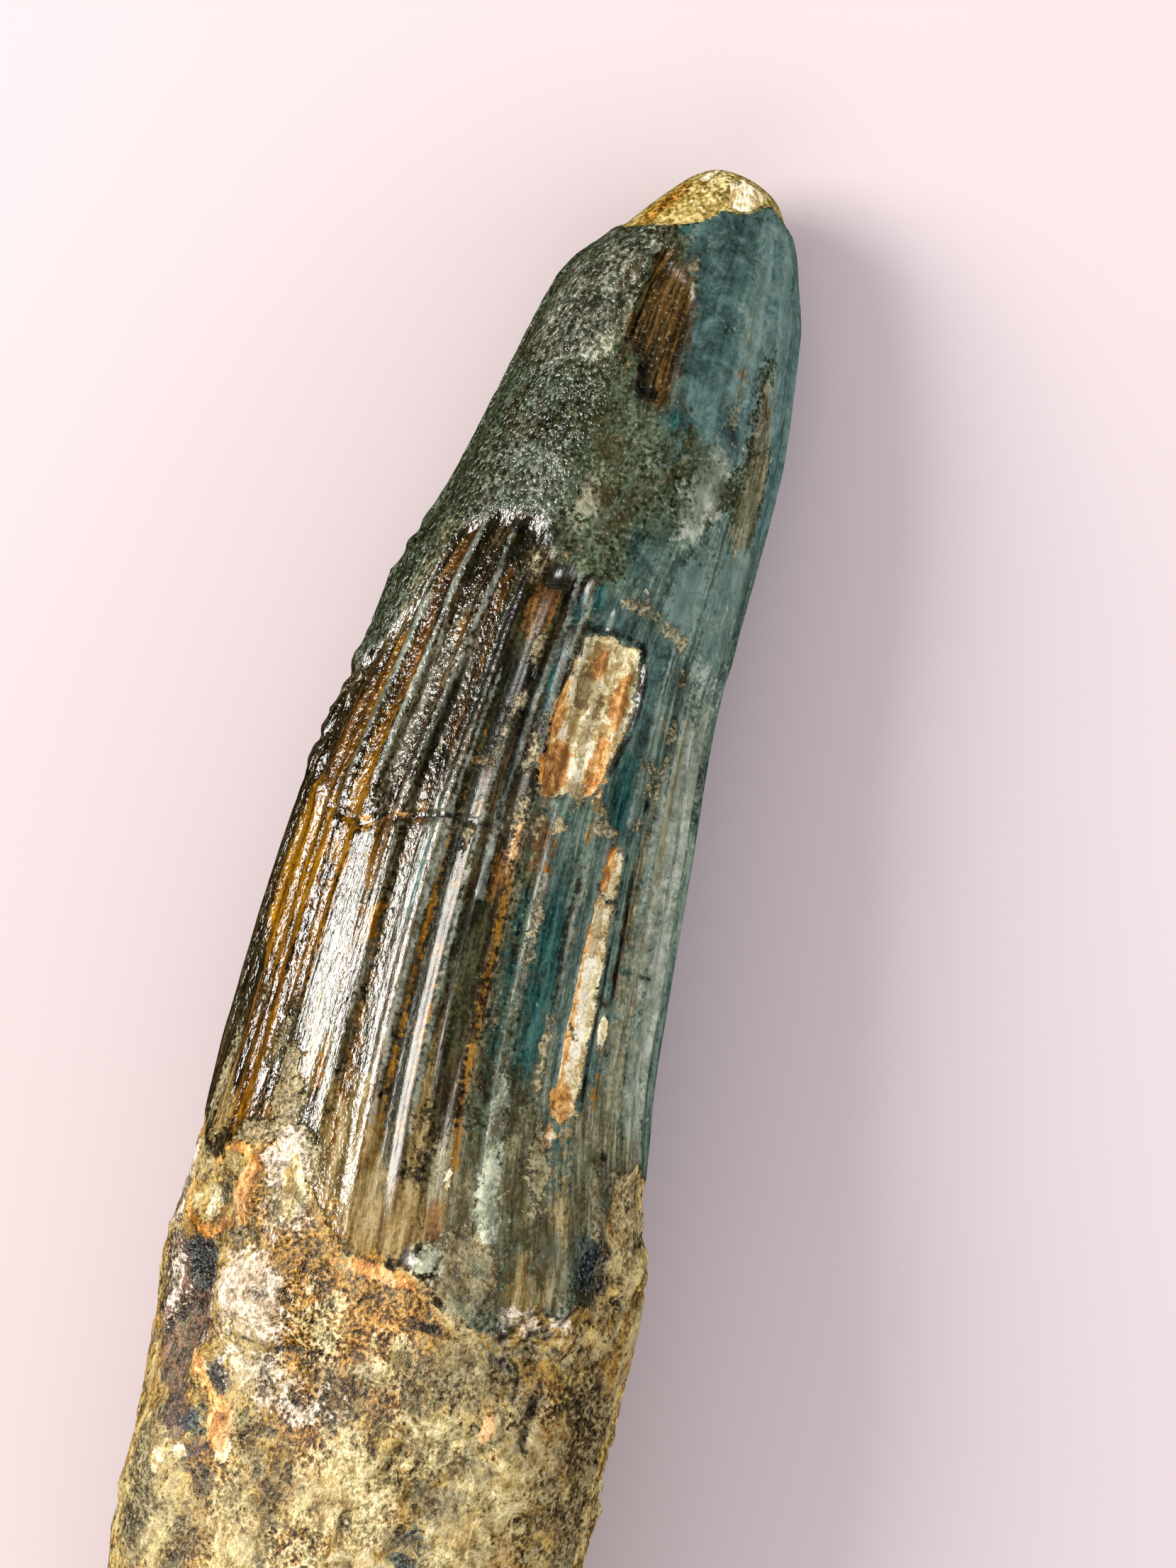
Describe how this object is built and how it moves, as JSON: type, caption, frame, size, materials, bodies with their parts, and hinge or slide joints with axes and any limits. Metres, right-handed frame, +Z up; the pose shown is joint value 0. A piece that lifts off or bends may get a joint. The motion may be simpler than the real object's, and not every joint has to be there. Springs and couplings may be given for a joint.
{
  "type": "fossil spinosaurus tooth",
  "caption": "Loose fossil dinosaur tooth lying on its side: a worn, fluted conical crown with chipped enamel, on the mottled stump of its root.",
  "frame": {"origin": "on the ground under the middle of the tooth as it lies", "axes": "+X from the broken root end to the tip, +Z up, +Y towards the side that shows on the left when the tip points away and the pictured side is up"},
  "size_m": [0.108, 0.0288, 0.023],
  "materials": {
    "fossil_tooth": "mineral-stained fossil enamel, amber, olive and slate with a soft polish, over dull sandy tan root bone"
  },
  "bodies": {
    "root": {"tooth": "fossil_tooth"}
  },
  "joints": []
}
